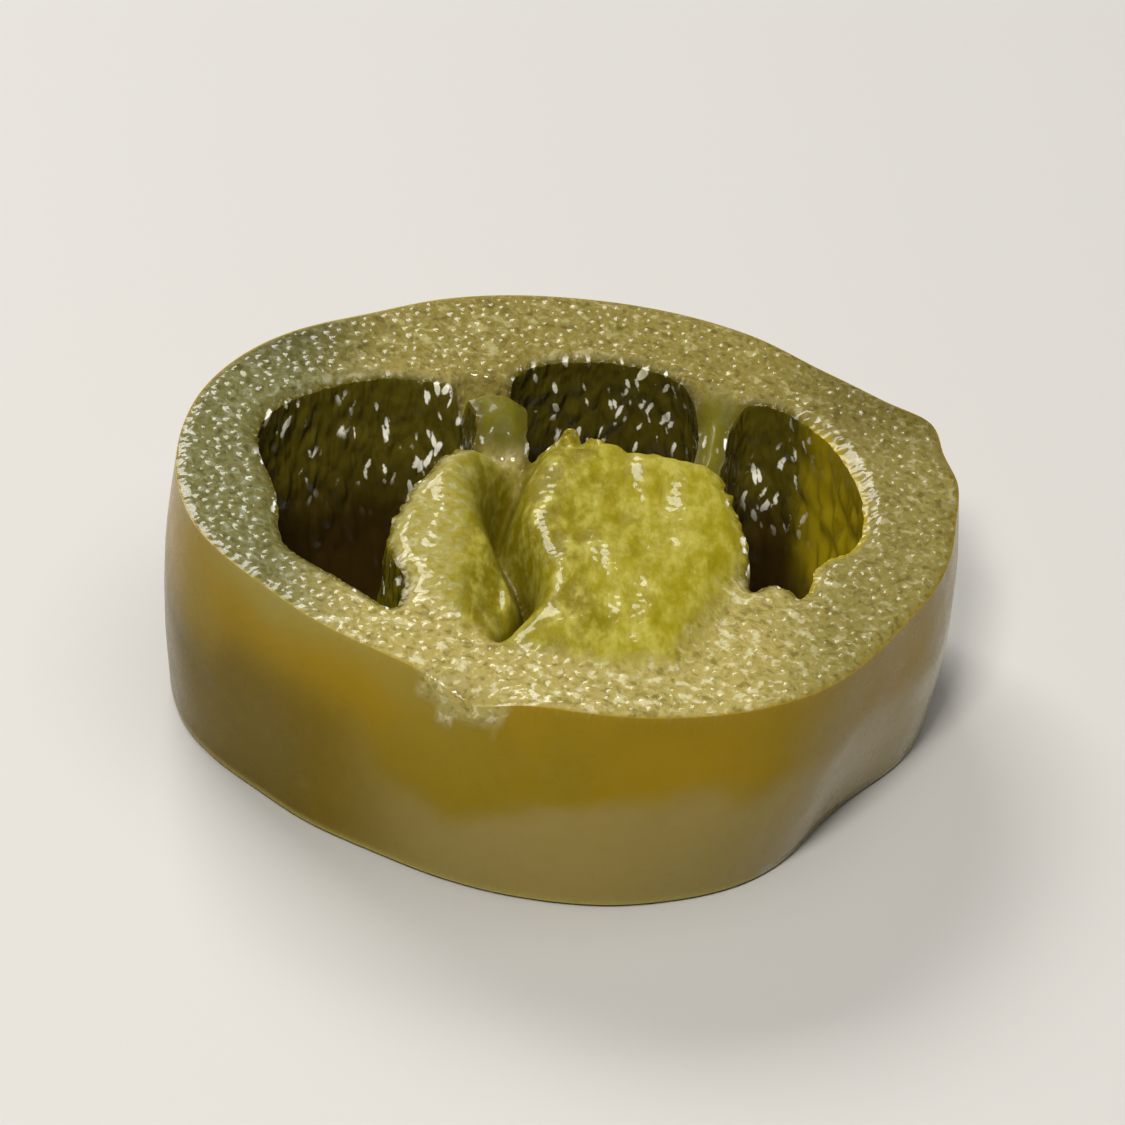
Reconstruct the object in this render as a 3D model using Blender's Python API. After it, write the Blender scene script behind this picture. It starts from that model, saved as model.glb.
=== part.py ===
"""One ring cut across a pickled green chilli pepper, lying on its lower cut face.

Metres, +Z up along the pepper's own axis. +X is to the right and -Y to the front of the view
in which the ring is known. The ring grew as one piece: skin, wall, thin partitions and the
seed-bearing middle are one solid, and three seed chambers go right through it.
"""
import math

import bpy
import numpy as np
from mathutils import Vector, geometry, noise
from mathutils.kdtree import KDTree

MM = 0.001
RING_WIDTH = 0.032  # across the cut face, left to right
HEIGHT_LEFT = 0.0102  # the ring is a slight wedge, thick on the left
HEIGHT_RIGHT = 0.0088
SKIN_BULGE = 0.00035  # how far the skin stands out at mid height
CHAMBER_SWELL = 0.0003  # the middle swells into the chambers and the wall draws back
BASE_TAPER = 0.015  # the lower face is smaller by this share
SIDE_DENT = 0.085  # and by this share more at the front right
DENT_ANGLE = -36  # degrees from +X
DENT_SPREAD = 22
MIDDLE_RISE = 0.0007  # the seed-bearing middle stands above the cut
CREASE_DEPTH = 0.0019
PARTITION_DROP = 0.0009  # the partitions at the back lie below the cut
UNDERSIDE_RECESS = 0.0004

# From here on, plan sizes are in millimetres.
STEP_TOP = 0.75  # spacing of points on the upper face and along the walls
STEP_CREASE = 0.62
STEP_BASE = 1.15
STEP_FINE = 0.08  # spacing of the lines that distances are measured from
ROWS_SKIN = 9
ROWS_CHAMBER = 8
PLAN_REACH = 17

KNIFE_WAVE = 0.10  # height and length of the unevenness left by the knife
KNIFE_WAVE_LENGTH = 6.0
MIDDLE_LUMPS = 0.16  # height and length of the lumps on the middle
MIDDLE_LUMP_LENGTH = 2.2
WALL_LUMPS = 0.16  # the same in the chambers
WALL_LUMP_LENGTH = 2.4
SKIN_LUMPS = 0.04
EDGE_ROUND_CHAMBER = 0.28  # drop of the edge, over the width after it
EDGE_WIDTH_CHAMBER = 0.7
EDGE_ROUND_SKIN = 0.10
EDGE_WIDTH_SKIN = 0.4
CREASE_HALF_WIDTH = 0.62
TAPER_REACH = 3.6  # the taper of the lower face ends this far in from the skin

# Outlines in the plane of the cut, anticlockwise.
SKIN = [
    (15.3, -1.0), (15.5, 1.8), (15.55, 4.4), (14.95, 6.6), (14.35, 9.0), (12.4, 10.3), (9.9, 12.1),
    (6.6, 14.2), (2.4, 15.4), (-2.2, 15.3), (-6.2, 14.1), (-9.6, 12.0), (-12.4, 9.9), (-14.4, 7.5),
    (-15.7, 4.6), (-16.3, 1.2), (-16.2, -2.2), (-15.4, -5.2), (-14.0, -7.5), (-12.0, -9.6),
    (-9.8, -11.6), (-7.0, -13.3), (-4.0, -14.8), (-1.0, -15.6), (2.4, -15.7), (5.6, -14.9),
    (8.4, -13.6), (10.6, -11.7), (12.3, -9.0), (13.6, -6.3), (14.7, -3.7),
]
LEFT_CHAMBER = [
    (-6.9, -9.7), (-6.6, -8.8), (-6.6, -7.8), (-7.0, -6.5), (-7.5, -5.1), (-7.3, -3.8),
    (-7.0, -2.4), (-6.6, -0.9), (-6.0, 0.4), (-5.6, 1.5), (-5.0, 2.5), (-4.5, 3.5), (-4.35, 4.8),
    (-4.6, 6.0), (-5.1, 7.0), (-6.3, 7.6), (-8.0, 7.5), (-9.8, 6.7), (-11.5, 5.4), (-12.7, 3.9),
    (-13.2, 2.2), (-13.0, 0.5), (-12.4, -1.4), (-12.0, -3.2), (-11.8, -5.0), (-11.4, -6.2),
    (-10.6, -7.0), (-9.6, -7.8), (-8.4, -8.7), (-7.5, -9.5),
]
RIGHT_CHAMBER = [
    (7.3, -5.2), (8.0, -4.6), (8.7, -4.7), (9.25, -5.3), (9.65, -4.5), (9.8, -3.2), (10.3, -2.2),
    (11.1, -1.5), (11.6, -0.3), (11.7, 1.3), (11.5, 3.2), (10.9, 5.2), (10.1, 6.8), (9.1, 8.0),
    (8.0, 8.9), (6.9, 9.0), (6.2, 8.3), (5.95, 7.0), (5.9, 5.5), (5.7, 4.2), (5.6, 3.1),
    (5.9, 1.9), (6.3, 0.5), (6.7, -1.0), (7.0, -2.6), (7.1, -4.1),
]
BACK_CHAMBER = [
    (-2.1, 3.8), (-1.5, 4.1), (-1.0, 4.9), (-0.5, 5.4), (0.1, 4.9), (0.9, 4.7), (1.6, 4.3),
    (2.3, 3.8), (3.1, 3.7), (3.9, 4.1), (4.5, 4.9), (4.75, 6.2), (4.8, 7.8), (4.4, 9.4),
    (3.2, 10.4), (1.3, 10.8), (-0.7, 10.6), (-2.3, 9.8), (-3.1, 8.6), (-2.9, 7.3), (-2.4, 6.2),
    (-2.3, 5.0),
]
MIDDLE = [
    (-2.7, -12.4), (0.0, -13.0), (2.2, -13.2), (4.2, -12.7), (5.2, -11.6), (6.0, -9.6), (6.8, -7.2),
    (7.3, -5.2), (8.6, -3.0), (8.6, 0.0), (7.4, 3.0), (5.2, 4.3), (3.6, 5.2), (1.5, 7.0),
    (-0.8, 7.4), (-2.1, 5.4), (-3.0, 3.9), (-4.4, 3.7), (-7.0, 2.6), (-8.8, -1.0), (-9.0, -5.2),
    (-7.4, -8.2), (-5.4, -10.2), (-4.0, -11.6),
]
CREASE = [
    (-2.2, 3.2), (-2.8, 1.4), (-3.1, -0.8), (-2.8, -3.0), (-2.1, -5.2), (-1.65, -7.3),
    (-1.9, -9.0), (-2.5, -10.6), (-2.8, -11.8),
]
# Mounds on the upper face: centre, half width, half length, share of the rise, squareness.
MOUNDS = [
    (2.6, -4.6, 5.4, 9.6, 1.0, 2.6),
    (-5.2, -3.8, 2.6, 7.6, 0.55, 2.0),
]
# Soft hollows in the upper face: centre, half width, half length, depth.
HOLLOWS = [
    (2.3, -1.3, 1.8, 2.2, 0.45),  # on top of the middle
    (-3.15, 0.4, 1.0, 3.0, 1.0),  # left bank of the crease, at the back
    (-2.9, -7.6, 0.9, 2.2, 0.6),  # left bank of the crease, at the front
    (-3.9, -15.4, 1.9, 1.1, 0.9),  # chip in the front rim
    (-3.5, 3.7, 1.3, 0.7, 1.1),  # where the torn partition meets the middle
    (-3.3, 5.6, 1.1, 1.2, -0.35),  # the torn partition itself
]
# Stretches along X or Y: where something begins, is full, starts to fade and is gone.
CREASE_Y = (-12.2, -6.8, 1.5, 4.0)
PARTITION_X = (3.5, 4.4, 6.0, 6.9)
PARTITION_Y = (2.6, 4.8, 7.8, 10.2)
PARTITION_SLANT = 0.35  # it falls off to the left of this X, by this share a millimetre
PARTITION_SLANT_X = 5.6
TORN_X = (-5.7, -4.8, -2.3, -1.4)
TORN_Y = (6.6, 7.1, 7.6, 8.6)
TORN_STEP = 1.8  # how deep the torn partition falls behind its own edge
TOE_LEFT = 2.5  # how far the back of a side chamber comes forward at the base
TOE_RIGHT = 1.6
TOE_Y = (2, 7, 10, 14.5)
TOE_FROM_BACK_CHAMBER = (4.0, 5.4)
BACK_CHAMBER_X = 0.85


def smooth(value, low, high):
    """Goes from 0 to 1 without a kink while the value goes from low to high."""
    t = np.clip((value - low) / (high - low), 0, 1)
    return t * t * (3 - 2 * t)


def curve(points, spacing, closed=True):
    """A smooth line through the points, in even steps of about the spacing."""
    p = np.array(points, float)
    if closed:
        before, after, beyond = np.roll(p, 1, 0), np.roll(p, -1, 0), np.roll(p, -2, 0)
    else:
        ends = np.vstack([2 * p[0] - p[1], p, 2 * p[-1] - p[-2]])
        before, p, after, beyond = ends[:-3], ends[1:-2], ends[2:-1], ends[3:]
    t = np.linspace(0, 1, 25)[:-1, None, None]
    square = t**2 * (2 * before - 5 * p + 4 * after - beyond)
    cube = t**3 * (3 * p - before - 3 * after + beyond)
    line = (p + (t * (after - before) + square + cube) / 2).transpose(1, 0, 2).reshape(-1, 2)
    line = np.vstack([line, line[:1] if closed else np.array(points[-1:], float)])
    along = np.concatenate([[0], np.cumsum(np.linalg.norm(np.diff(line, axis=0), axis=1))])
    at = np.linspace(0, along[-1], max(3, round(along[-1] / spacing)) + 1)
    even = np.column_stack([np.interp(at, along, line[:, k]) for k in range(2)])
    return even[:-1] if closed else even


def distance(points, line):
    """How far each point is from the nearest point of a finely drawn line."""
    tree = KDTree(len(line))
    for i, (x, y) in enumerate(line):
        tree.insert((x, y, 0), i)
    tree.balance()
    return np.array([tree.find((x, y, 0))[2] for x, y in points])


def inside(points, outline):
    """Whether each point lies within the closed outline."""
    x, y = points[:, 0], points[:, 1]
    within = np.zeros(len(points), bool)
    for (ax, ay), (bx, by) in zip(outline, np.roll(outline, -1, 0)):
        crossing = (ay > y) != (by > y)
        if crossing.any():
            within ^= crossing & (x < (bx - ax) * (y - ay) / (by - ay) + ax)
    return within


OUTLINES = [SKIN, LEFT_CHAMBER, RIGHT_CHAMBER, BACK_CHAMBER]
FINE = [curve(outline, STEP_FINE) for outline in OUTLINES]
FINE_CHAMBERS = np.vstack(FINE[1:])
FINE_MIDDLE = curve(MIDDLE, STEP_FINE)
FINE_CREASE = curve(CREASE, STEP_FINE, closed=False)


def rough(points, length, seed):
    """Soft unevenness between about -1 and 1 with bumps of the given length."""
    return np.array([noise.noise(Vector((x / length, y / length, seed))) for x, y in points])


def middle_depth(points):
    """How far within the seed-bearing middle each point lies, and 0 outside it."""
    return distance(points, FINE_MIDDLE) * inside(points, FINE_MIDDLE)


def stretch(value, begins, full, fades, gone):
    """1 along a stretch and 0 away from it."""
    return smooth(value, begins, full) * (1 - smooth(value, fades, gone))


def top_height(points):
    """Height of the upper cut face, in millimetres."""
    x, y = points[:, 0], points[:, 1]
    lean = (HEIGHT_LEFT - HEIGHT_RIGHT) / RING_WIDTH
    z = (HEIGHT_LEFT + HEIGHT_RIGHT) / 2 / MM - lean * x
    z += KNIFE_WAVE * rough(points, KNIFE_WAVE_LENGTH, 3.1)

    deep = middle_depth(points)
    z += MIDDLE_LUMPS * smooth(deep, 0, 1.6) * rough(points, MIDDLE_LUMP_LENGTH, 7.7)
    for cx, cy, half_width, half_length, share, power in MOUNDS:
        out = np.abs((x - cx) / half_width) ** power + np.abs((y - cy) / half_length) ** power
        z += MIDDLE_RISE / MM * share * np.clip(1 - out, 0, 1) ** 0.6 * smooth(deep, 0, 2.0)
    for cx, cy, half_width, half_length, depth in HOLLOWS:
        z -= depth * np.exp(-(((x - cx) / half_width) ** 2) - ((y - cy) / half_length) ** 2)

    along = 0.5 * stretch(y, *CREASE_Y) + 0.5 * smooth(y, *CREASE_Y[:2])
    across = np.exp(-((distance(points, FINE_CREASE) / CREASE_HALF_WIDTH) ** 2))
    z -= CREASE_DEPTH / MM * along * across

    right = stretch(x, *PARTITION_X) * stretch(y, *PARTITION_Y)
    z -= PARTITION_DROP / MM * right * (1 + PARTITION_SLANT * (PARTITION_SLANT_X - x))
    z -= TORN_STEP * stretch(x, *TORN_X) * stretch(y, *TORN_Y)

    z -= EDGE_ROUND_CHAMBER * (1 - smooth(distance(points, FINE_CHAMBERS), 0, EDGE_WIDTH_CHAMBER))
    return z - EDGE_ROUND_SKIN * (1 - smooth(distance(points, FINE[0]), 0, EDGE_WIDTH_SKIN))


def base_height(points):
    """Height of the lower cut face: flat wall, with the softer middle a little hollow."""
    hollow = smooth(middle_depth(points), 0, 1.5)
    crease = np.exp(-((distance(points, FINE_CREASE) / 1.5 / CREASE_HALF_WIDTH) ** 2))
    z = hollow * (UNDERSIDE_RECESS + CREASE_DEPTH / 2 * crease) / MM
    z += EDGE_ROUND_CHAMBER * (1 - smooth(distance(points, FINE_CHAMBERS), 0, EDGE_WIDTH_CHAMBER))
    return z + EDGE_ROUND_SKIN * (1 - smooth(distance(points, FINE[0]), 0, EDGE_WIDTH_SKIN))


def base_place(points):
    """Where a point of the upper face's plan comes to lie on the lower face."""
    angle = np.degrees(np.arctan2(points[:, 1], points[:, 0]))
    shrink = BASE_TAPER + SIDE_DENT * np.exp(-(((angle - DENT_ANGLE) / DENT_SPREAD) ** 2))
    near = 1 - smooth(distance(points, FINE[0]), 0, TAPER_REACH)
    placed = points * (1 - shrink * near)[:, None]
    x, y = points[:, 0], points[:, 1]
    beside = smooth(np.abs(x - BACK_CHAMBER_X), *TOE_FROM_BACK_CHAMBER)
    placed[:, 1] -= np.where(x < 0, TOE_LEFT, TOE_RIGHT) * beside * stretch(y, *TOE_Y)
    return placed


def crease_rows():
    """Rows of points along the crease and down its two banks."""
    bed = curve(CREASE, STEP_CREASE, closed=False)
    along = np.gradient(bed, axis=0)
    along /= np.linalg.norm(along, axis=1)[:, None]
    side = np.column_stack([along[:, 1], -along[:, 0]])
    rows = [bed]
    for offset in (0.55, 1.1):
        rows += [(bed + sign * offset * side)[1:-1] for sign in (-1, 1)]
    rows = np.vstack(rows)
    return rows[distance(rows, FINE_CHAMBERS) > 0.5]


def fill(loops, spacing, extra):
    """Triangles between the outer loop and the holes, and the loops' points among them."""
    across = np.arange(-PLAN_REACH, PLAN_REACH, spacing)
    up = np.arange(-PLAN_REACH, PLAN_REACH, spacing * math.sin(math.pi / 3))
    grid = np.array([(x + (j % 2) * spacing / 2, y) for j, y in enumerate(up) for x in across])
    keep = inside(grid, loops[0]) & (distance(grid, np.vstack(FINE)) > 0.62 * spacing)
    for hole in loops[1:]:
        keep &= ~inside(grid, hole)
    if len(extra):
        keep &= distance(grid, extra) > 0.6 * spacing
    spots = np.vstack([*loops, grid[keep], extra])
    edges, start = [], 0
    for loop in loops:
        n = len(loop)
        edges += [(start + i, start + (i + 1) % n) for i in range(n)]
        start += n
    found = geometry.delaunay_2d_cdt([Vector(p) for p in spots], edges, [], 0, 1e-7)
    places = np.array([tuple(p) for p in found[0]])
    triangles = np.array(found[2])
    centres = places[triangles].mean(axis=1)
    within = inside(centres, loops[0])
    for hole in loops[1:]:
        within &= ~inside(centres, hole)
    new_number = np.empty(len(spots), int)
    new_number[[sources[0] for sources in found[3]]] = np.arange(len(places))
    return places, triangles[within], new_number[:start]


def wall_push(loop, is_chamber):
    """Direction away from the flesh along a wall, and how far the wall stands out there."""
    along = np.roll(loop, -1, 0) - np.roll(loop, 1, 0)
    along /= np.linalg.norm(along, axis=1)[:, None]
    away = np.column_stack([along[:, 1], -along[:, 0]])
    if not is_chamber:
        return away, np.full(len(loop), SKIN_BULGE / MM), SKIN_LUMPS
    outward = loop / np.linalg.norm(loop, axis=1)[:, None]
    return -away, CHAMBER_SWELL / MM * (-away * outward).sum(axis=1), WALL_LUMPS


def build_ring():
    """The mesh: upper face, lower face, and a wall of rows between each pair of loops."""
    loops = [curve(outline, STEP_TOP) for outline in OUTLINES]
    top_plan, top_faces, top_rims = fill(loops, STEP_TOP, crease_rows())
    base_plan, base_faces, base_rims = fill(loops, STEP_BASE, np.empty((0, 2)))
    top = np.column_stack([top_plan, top_height(top_plan)])
    base = np.column_stack([base_place(base_plan), base_height(base_plan)])
    points = [top, base]
    faces = [tuple(f) for f in top_faces] + [tuple(f[::-1] + len(top)) for f in base_faces]
    count = len(top) + len(base)
    start = 0
    for number, loop in enumerate(loops):
        n = len(loop)
        upper, lower = top_rims[start : start + n], base_rims[start : start + n]
        away, swell, lumps = wall_push(loop, number > 0)
        rows = ROWS_CHAMBER if number else ROWS_SKIN
        above = upper
        for row in range(1, rows + 1):
            t = row / rows
            below = lower + len(top)
            if row < rows:
                level = top[upper] * (1 - t) + base[lower] * t
                grain = rough(loop + (0, PLAN_REACH * t), WALL_LUMP_LENGTH, 5.5)
                level[:, :2] += away * ((swell + lumps * grain) * math.sin(math.pi * t))[:, None]
                points.append(level)
                below = np.arange(count, count + n)
                count += n
            for i in range(n):
                a, b, c, d = above[i], above[(i + 1) % n], below[(i + 1) % n], below[i]
                faces += [(a, b, d), (b, c, d)] if number else [(a, d, b), (b, d, c)]
            above = below
        start += n

    points = np.vstack(points)
    drawn_width = np.ptp(FINE[0][:, 0])
    points *= (RING_WIDTH / drawn_width, RING_WIDTH / drawn_width, MM)
    middle = (points.min(axis=0) + points.max(axis=0)) / 2
    points -= (middle[0], middle[1], points[:, 2].min())
    mesh = bpy.data.meshes.new("pepper_ring")
    mesh.from_pydata(points.tolist(), [], [tuple(map(int, f)) for f in faces])
    mesh.shade_smooth()
    mesh.set_sharp_from_angle(angle=math.radians(50))
    return mesh


def pickled_flesh():
    """Olive green, smooth and wet."""
    material = bpy.data.materials.new("pickled_pepper")
    material.use_nodes = True
    shader = material.node_tree.nodes["Principled BSDF"]
    shader.inputs["Base Color"].default_value = (0.235, 0.215, 0.035, 1)
    shader.inputs["Roughness"].default_value = 0.32
    shader.inputs["Metallic"].default_value = 0
    return material


for old in list(bpy.data.objects):
    bpy.data.objects.remove(old, do_unlink=True)

ring = bpy.data.objects.new("pepper_ring", build_ring())
ring.data.materials.append(pickled_flesh())
bpy.context.scene.collection.objects.link(ring)
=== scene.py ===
"""The pickled chilli pepper ring as it looks: glossy olive skin, a granular cut face, a pale
lumpy middle and dark wet chambers. Outlines, relief and what is worked out from them are in
millimetres, as in the part's source, until ring_mesh scales them. The rest is in metres."""
import math

import bpy
import numpy as np
from mathutils import Matrix, Vector, geometry, noise
from mathutils.kdtree import KDTree


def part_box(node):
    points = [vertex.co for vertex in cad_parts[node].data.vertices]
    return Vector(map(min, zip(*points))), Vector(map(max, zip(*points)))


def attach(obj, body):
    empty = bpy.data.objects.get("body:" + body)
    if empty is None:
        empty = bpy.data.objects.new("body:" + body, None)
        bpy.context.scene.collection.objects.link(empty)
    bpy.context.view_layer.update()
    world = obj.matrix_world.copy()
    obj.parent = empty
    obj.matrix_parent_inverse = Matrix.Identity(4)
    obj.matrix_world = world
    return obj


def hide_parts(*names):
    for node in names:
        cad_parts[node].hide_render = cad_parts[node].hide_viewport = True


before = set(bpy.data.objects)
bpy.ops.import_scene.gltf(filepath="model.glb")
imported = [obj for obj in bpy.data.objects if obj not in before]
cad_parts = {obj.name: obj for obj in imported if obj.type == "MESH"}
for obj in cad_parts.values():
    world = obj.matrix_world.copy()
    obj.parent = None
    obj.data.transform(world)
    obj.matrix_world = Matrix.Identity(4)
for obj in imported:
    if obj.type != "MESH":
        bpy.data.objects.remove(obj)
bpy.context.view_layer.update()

MM = 0.001
NODE = "pepper_ring"

# The ring's form, with the values of the part's source, in metres.
RING_WIDTH = 0.032  # across the cut face, left to right
HEIGHT_LEFT = 0.0102  # the ring is a slight wedge, thick on the left
HEIGHT_RIGHT = 0.0088
SKIN_BULGE = 0.00035  # how far the skin stands out at mid height
CHAMBER_SWELL = 0.0003  # the middle swells into the chambers and the wall draws back
BASE_TAPER = 0.015  # the lower face is smaller by this share
SIDE_DENT = 0.085  # and by this share more at the front right
DENT_ANGLE = -36  # degrees from +X
DENT_SPREAD = 22
MIDDLE_RISE = 0.0007  # the seed-bearing middle stands above the cut
CREASE_DEPTH = 0.0019
PARTITION_DROP = 0.0009  # the partitions at the back lie below the cut
UNDERSIDE_RECESS = 0.0004

# From here on, sizes of the form are in millimetres.
KNIFE_WAVE = 0.10  # height and length of the unevenness left by the knife
KNIFE_WAVE_LENGTH = 6.0
MIDDLE_LUMPS = 0.16  # height and length of the lumps on the middle
MIDDLE_LUMP_LENGTH = 2.2
WALL_LUMPS = 0.16  # the same in the chambers
WALL_LUMP_LENGTH = 2.4
SKIN_LUMPS = 0.04
EDGE_ROUND_CHAMBER = 0.28  # drop of the edge, over the width after it
EDGE_WIDTH_CHAMBER = 0.7
EDGE_ROUND_SKIN = 0.10
EDGE_WIDTH_SKIN = 0.4
CREASE_HALF_WIDTH = 0.62
TAPER_REACH = 3.6  # the taper of the lower face ends this far in from the skin
PLAN_REACH = 17

# How finely it is drawn here.
STEP_TOP = 0.128
STEP_BASE = 0.5
STEP_FINE = 0.08  # spacing of the lines that distances are measured from
ROWS_SKIN = 16
ROWS_CHAMBER = 40
SHARP_ANGLE = 62

# Outlines in the plane of the cut, anticlockwise.
SKIN = [
    (15.3, -1.0), (15.5, 1.8), (15.55, 4.4), (14.95, 6.6), (14.35, 9.0), (12.4, 10.3), (9.9, 12.1),
    (6.6, 14.2), (2.4, 15.4), (-2.2, 15.3), (-6.2, 14.1), (-9.6, 12.0), (-12.4, 9.9), (-14.4, 7.5),
    (-15.7, 4.6), (-16.3, 1.2), (-16.2, -2.2), (-15.4, -5.2), (-14.0, -7.5), (-12.0, -9.6),
    (-9.8, -11.6), (-7.0, -13.3), (-4.0, -14.8), (-1.0, -15.6), (2.4, -15.7), (5.6, -14.9),
    (8.4, -13.6), (10.6, -11.7), (12.3, -9.0), (13.6, -6.3), (14.7, -3.7),
]
LEFT_CHAMBER = [
    (-6.9, -9.7), (-6.6, -8.8), (-6.6, -7.8), (-7.0, -6.5), (-7.5, -5.1), (-7.3, -3.8),
    (-7.0, -2.4), (-6.6, -0.9), (-6.0, 0.4), (-5.6, 1.5), (-5.0, 2.5), (-4.5, 3.5), (-4.35, 4.8),
    (-4.6, 6.0), (-5.1, 7.0), (-6.3, 7.6), (-8.0, 7.5), (-9.8, 6.7), (-11.5, 5.4), (-12.7, 3.9),
    (-13.2, 2.2), (-13.0, 0.5), (-12.4, -1.4), (-12.0, -3.2), (-11.8, -5.0), (-11.4, -6.2),
    (-10.6, -7.0), (-9.6, -7.8), (-8.4, -8.7), (-7.5, -9.5),
]
RIGHT_CHAMBER = [
    (7.3, -5.2), (8.0, -4.6), (8.7, -4.7), (9.25, -5.3), (9.65, -4.5), (9.8, -3.2), (10.3, -2.2),
    (11.1, -1.5), (11.6, -0.3), (11.7, 1.3), (11.5, 3.2), (10.9, 5.2), (10.1, 6.8), (9.1, 8.0),
    (8.0, 8.9), (6.9, 9.0), (6.2, 8.3), (5.95, 7.0), (5.9, 5.5), (5.7, 4.2), (5.6, 3.1),
    (5.9, 1.9), (6.3, 0.5), (6.7, -1.0), (7.0, -2.6), (7.1, -4.1),
]
BACK_CHAMBER = [
    (-2.1, 3.8), (-1.5, 4.1), (-1.0, 4.9), (-0.5, 5.4), (0.1, 4.9), (0.9, 4.7), (1.6, 4.3),
    (2.3, 3.8), (3.1, 3.7), (3.9, 4.1), (4.5, 4.9), (4.75, 6.2), (4.8, 7.8), (4.4, 9.4),
    (3.2, 10.4), (1.3, 10.8), (-0.7, 10.6), (-2.3, 9.8), (-3.1, 8.6), (-2.9, 7.3), (-2.4, 6.2),
    (-2.3, 5.0),
]
MIDDLE = [
    (-2.7, -12.4), (0.0, -13.0), (2.2, -13.2), (4.2, -12.7), (5.2, -11.6), (6.0, -9.6), (6.8, -7.2),
    (7.3, -5.2), (8.6, -3.0), (8.6, 0.0), (7.4, 3.0), (5.2, 4.3), (3.6, 5.2), (1.5, 7.0),
    (-0.8, 7.4), (-2.1, 5.4), (-3.0, 3.9), (-4.4, 3.7), (-7.0, 2.6), (-8.8, -1.0), (-9.0, -5.2),
    (-7.4, -8.2), (-5.4, -10.2), (-4.0, -11.6),
]
CREASE = [
    (-2.2, 3.2), (-2.8, 1.4), (-3.1, -0.8), (-2.8, -3.0), (-2.1, -5.2), (-1.65, -7.3),
    (-1.9, -9.0), (-2.5, -10.6), (-2.8, -11.8),
]
# Mounds on the upper face: centre, half width, half length, share of the rise, squareness.
MOUNDS = [
    (2.6, -4.6, 5.4, 9.6, 1.0, 2.6),
    (-5.2, -3.8, 2.6, 7.6, 0.55, 2.0),
]
# Soft hollows in the upper face: centre, half width, half length, depth.
HOLLOWS = [
    (2.3, -1.3, 1.8, 2.2, 0.45),  # on top of the middle
    (-3.15, 0.4, 1.0, 3.0, 1.0),  # left bank of the crease, at the back
    (-2.9, -7.6, 0.9, 2.2, 0.6),  # left bank of the crease, at the front
    (-3.9, -15.4, 1.9, 1.1, 0.9),  # chip in the front rim
    (-3.5, 3.7, 1.3, 0.7, 1.1),  # where the torn partition meets the middle
    (-3.3, 5.6, 1.1, 1.2, -0.35),  # the torn partition itself
]
# Stretches along X or Y: where something begins, is full, starts to fade and is gone.
CREASE_Y = (-12.2, -6.8, 1.5, 4.0)
PARTITION_X = (3.5, 4.4, 6.0, 6.9)
PARTITION_Y = (2.6, 4.8, 7.8, 10.2)
PARTITION_SLANT = 0.35  # it falls off to the left of this X, by this share a millimetre
PARTITION_SLANT_X = 5.6
TORN_X = (-5.7, -4.8, -2.3, -1.4)
TORN_Y = (6.6, 7.1, 7.6, 8.6)
TORN_STEP = 1.8  # how deep the torn partition falls behind its own edge
TOE_LEFT = 2.5  # how far the back of a side chamber comes forward at the base
TOE_RIGHT = 1.6
TOE_Y = (2, 7, 10, 14.5)
TOE_FROM_BACK_CHAMBER = (4.0, 5.4)
BACK_CHAMBER_X = 0.85

# Where the two partitions at the back have the look of a thin membrane.
RIGHT_MEMBRANE_Y = (3.2, 4.6, 8.6, 9.8)
LEFT_MEMBRANE_Y = (3.6, 4.4, 7.0, 7.8)

# Fine relief that only this script has: heights, depths and sizes.
CELL_HEIGHT = 0.065  # the flesh's cells on the cut
CELL_SIZE = 0.46
CELL_LEVEL = 0.6  # the share of a cell's height that lies at the cut
CELL_LOSS_ON_MIDDLE = 0.6
CELL_CALM = 0.25  # the cells fade out this near the skin
GRAIN_HEIGHT = 0.09  # the drawn-out grain of the middle
GRAIN_SIZE = 0.95
GRAIN_SQUEEZE = 0.4
CREST_NOTCH = 0.45  # notches between the small crests at the middle's back
CREST_SIZE = 1.25
CREST_Y = (2.6, 4.2)
BORDER_RAGGED = 0.35  # how far the middle's border wanders, in steps of about the size
BORDER_SIZE = 0.6
BORDER = (0.2, 1.5)  # where the middle begins and is full, inward from its outline
CRACK_DEPTH = 0.5  # the thin crack at the crease's front end
CRACK_HALF_WIDTH = 0.2
CRACK_Y = (-11.6, -10.4, -7.0, -4.5)
SCUFF_X = -3.8  # the skin scraped off below the chip in the rim
SCUFF_HALF_WIDTH = 1.8
SCUFF_DEPTH = (0.3, 1.5)  # where it starts to end and has ended, below the rim
SCUFF_RAGGED = 0.9
SCUFF_RAGGED_SIZE = 0.7
SCUFF_BORDER = (0.25, 0.5)
NIBBLE = 0.07  # how far the chamber edges are frayed
NIBBLE_MIDDLE = 0.2  # the same on the middle's side
NIBBLE_SIZE = 0.55
NIBBLE_REACH = 0.7
NIBBLE_SAME_LINE = 1  # two points of an edge further apart than this are on two edges
BLISTER_HEIGHT = 0.17  # blisters on the chamber walls
BLISTER_SIZE = 0.8
BLISTER_SQUEEZE = 0.45
BLISTER_FADE = 5  # they fade out over the first and last fifth of the height

# How far inward from an edge a cut face still has the look of the wall below it.
SKIN_LINE = 0.16
LINING_LINE = 0.45
BASE_BORDER = (0.1, 1.0)  # the middle's border on the lower face
WALL_BORDER = (0.0, 0.3)  # and on the chamber walls
BASE_DEPTH = 9.0  # the lower face counts as this deep
# How strong the painted shade in the crease is.
DARK_IN_CREASE = 0.7


def smooth(value, low, high):
    """Goes from 0 to 1 without a kink while the value goes from low to high."""
    t = np.clip((value - low) / (high - low), 0, 1)
    return t * t * (3 - 2 * t)


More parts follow.
